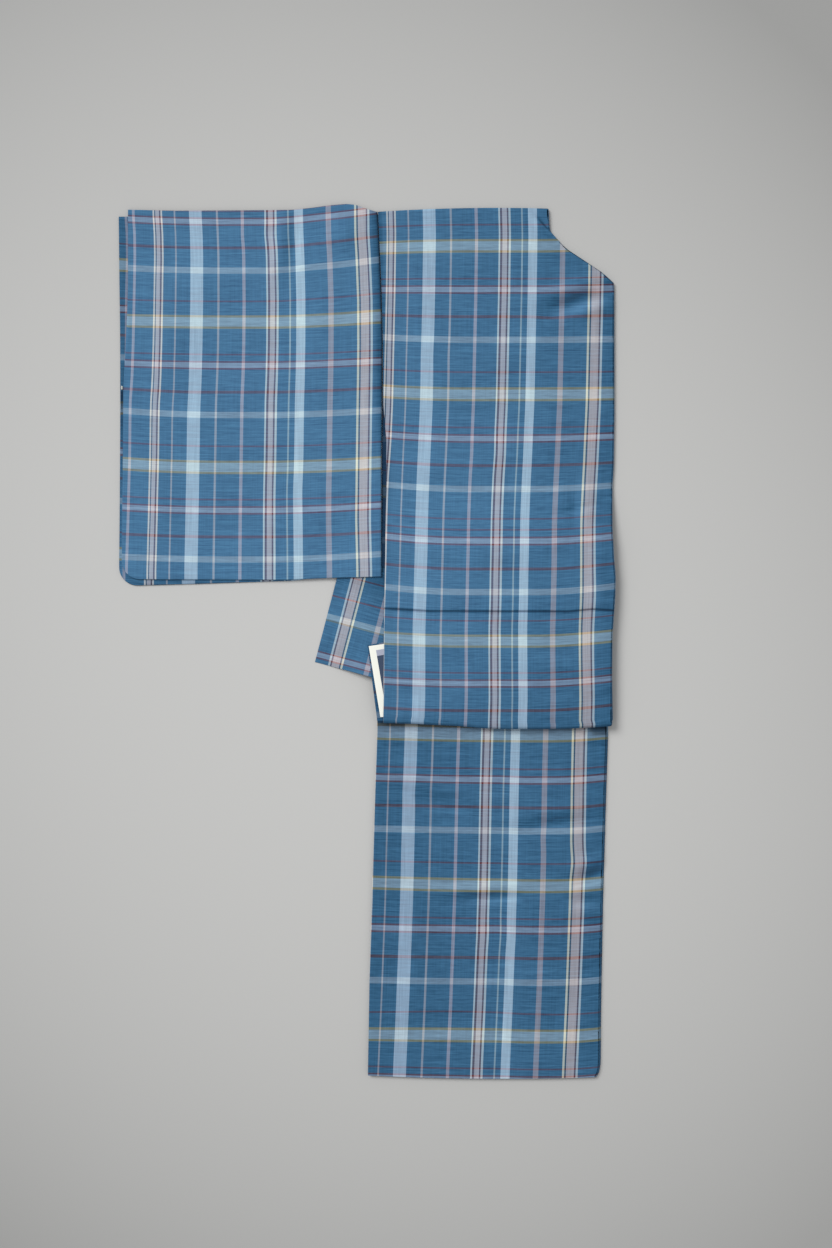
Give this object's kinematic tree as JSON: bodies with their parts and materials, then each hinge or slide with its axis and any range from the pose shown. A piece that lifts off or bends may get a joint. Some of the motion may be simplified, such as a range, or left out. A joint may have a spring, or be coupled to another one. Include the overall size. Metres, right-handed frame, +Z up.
{
  "type": "tsumugi kimono, folded lengthwise and laid flat",
  "caption": "Checked blue silk kimono folded in half lengthwise, sleeves stacked to one side and the body turned under at the waist, lying flat.",
  "frame": {"origin": "middle of the whole outline's box, on the surface that the garment lies on", "axes": "+Y from the hem to the shoulder, +Z up out of the cloth, +X from the sleeves to the back seam's fold"},
  "size_m": [0.661, 1.1652, 0.0156],
  "materials": {
    "check_silk": "matte slubbed tsumugi silk, yarn-dyed check of blue, pale blue, pink, cream, red and yellow",
    "inner_layers": "matte slubbed tsumugi silk in the shade of the folds",
    "label_tape": "matte woven tape, blank"
  },
  "bodies": {
    "root": {"body_left": "check_silk", "core": "inner_layers", "body_right": "check_silk", "sleeve_upper": "check_silk", "sleeve_lower": "check_silk", "collar_end": "check_silk", "front_edge": "inner_layers", "label": "label_tape"}
  },
  "joints": []
}
